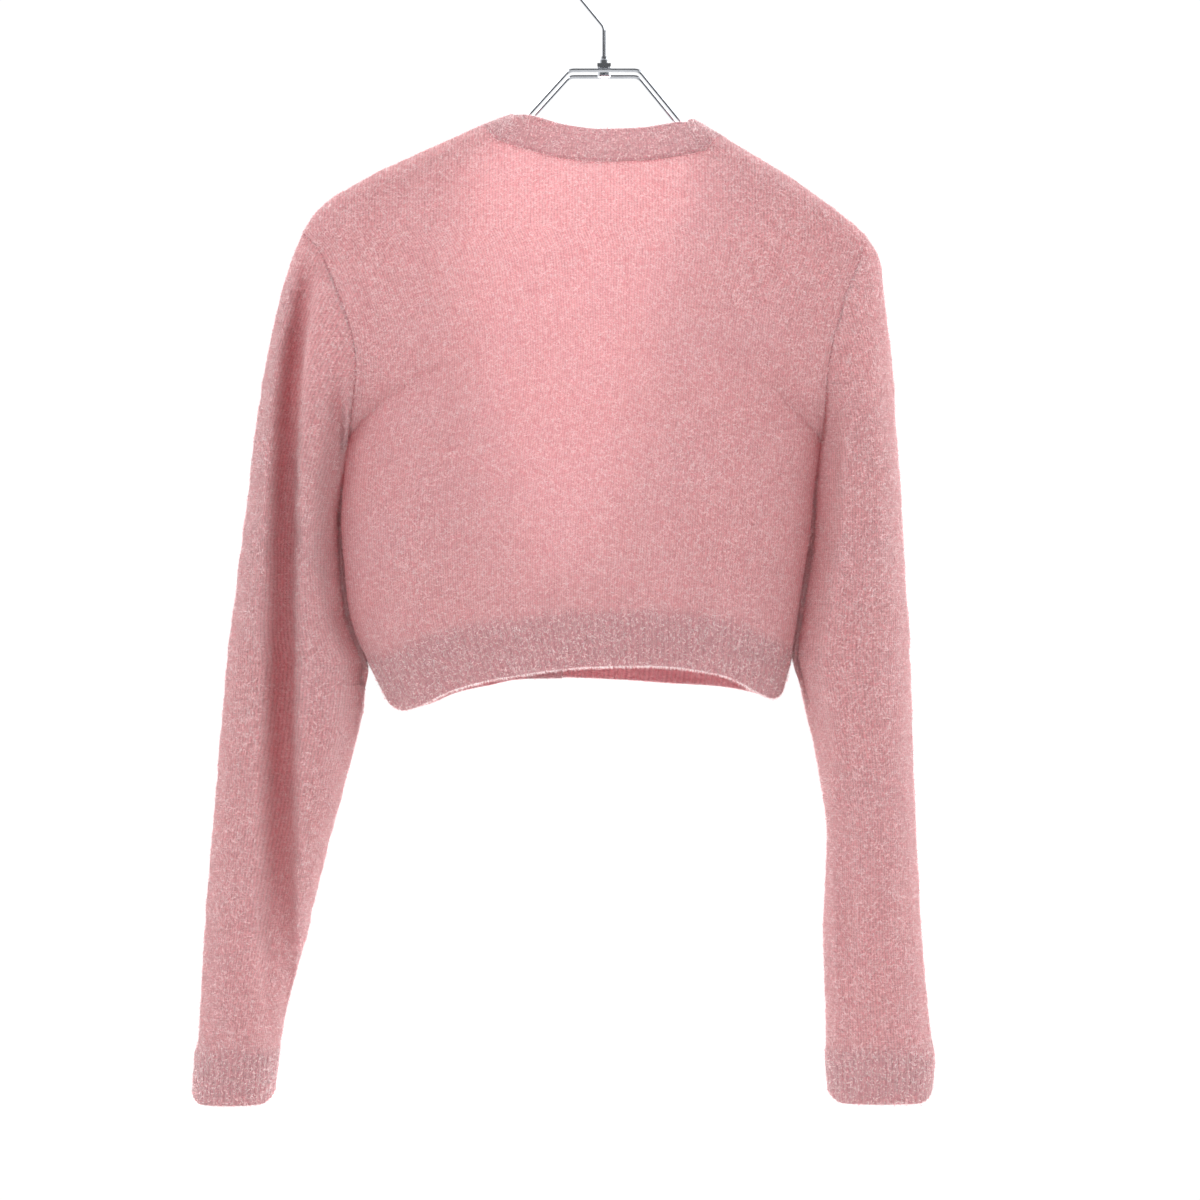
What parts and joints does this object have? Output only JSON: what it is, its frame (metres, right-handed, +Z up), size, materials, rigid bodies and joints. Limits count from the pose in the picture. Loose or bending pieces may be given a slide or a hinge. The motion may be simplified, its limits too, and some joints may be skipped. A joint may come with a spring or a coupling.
{
  "type": "cardigan on a wire hanger",
  "caption": "Cropped long-sleeved V-neck cardigan in felted knit with ribbed hem and cuffs, buttoned low, hanging on a double-wire hanger.",
  "frame": {"origin": "inside top of the hanger's hook, where a rail bears", "axes": "+Z up, +X the wearer's left, +Y the garment's back"},
  "size_m": [0.5339, 0.1057, 0.8331],
  "materials": {
    "pink_wool": "felted heather wool knit",
    "pink_wool_band": "felted heather wool knit, doubled",
    "pink_button": "satin",
    "chrome_wire": "polished"
  },
  "bodies": {
    "root": {"back": "pink_wool", "front_left": "pink_wool", "front_right": "pink_wool", "sleeve_left": "pink_wool", "sleeve_right": "pink_wool", "neckband": "pink_wool_band", "button_1": "pink_button", "button_2": "pink_button", "hanger_wire": "chrome_wire", "hanger_bridge": "chrome_wire", "hanger_collar": "chrome_wire", "hanger_nut": "chrome_wire", "hanger_hook": "chrome_wire"}
  },
  "joints": []
}
